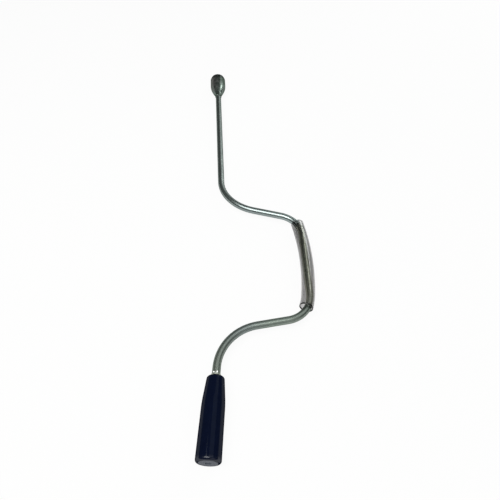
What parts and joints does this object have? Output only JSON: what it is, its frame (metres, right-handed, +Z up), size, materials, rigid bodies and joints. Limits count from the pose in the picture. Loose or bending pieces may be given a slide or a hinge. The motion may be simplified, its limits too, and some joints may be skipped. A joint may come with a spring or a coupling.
{
  "type": "steady winder handle",
  "caption": "Cranked steel bar with a hexagon socket at one end, a loose clear guard tube on its throw and a free-turning moulded grip on its journal.",
  "frame": {"origin": "centre of the hexagon socket's mouth, on the straight shaft's axis", "axes": "+Y out of the socket along the shaft, +X towards the crank's throw, +Z up as the winder lies flat; the bent bar's centreline lies in the plane Z = 0"},
  "size_m": [0.1537, 0.6934, 0.0268],
  "materials": {
    "bar_steel": "thin bright zinc plate, greenish where it has dulled",
    "socket_steel": "zinc plate, darker where the socket was worked hot",
    "clear_tube": "clear soft vinyl, slightly smoky",
    "grip_plastic": "navy moulded plastic, smooth",
    "plug_plastic": "grey moulded plastic",
    "washer_steel": "bright zinc plate",
    "spring_steel": "blued spring steel"
  },
  "bodies": {
    "crank": {"crank_bar": "bar_steel", "drive_socket": "socket_steel", "stop_washer": "washer_steel", "push_on_ring": "spring_steel"},
    "grip": {"grip_shell": "grip_plastic", "end_plug": "plug_plastic"},
    "sleeve": {"throw_sleeve": "clear_tube"}
  },
  "joints": [
    {"name": "grip_spin", "type": "hinge", "parent": "crank", "child": "grip", "pos_m": [-0.01296, -0.60281, 0], "axis": [-0.1002, -0.995, 0], "continuous": true},
    {"name": "sleeve_spin", "type": "hinge", "parent": "crank", "child": "sleeve", "pos_m": [0.10839, -0.45006, 0], "axis": [-0.0349, -0.9994, 0], "continuous": true, "deforming": ["throw_sleeve"]}
  ]
}
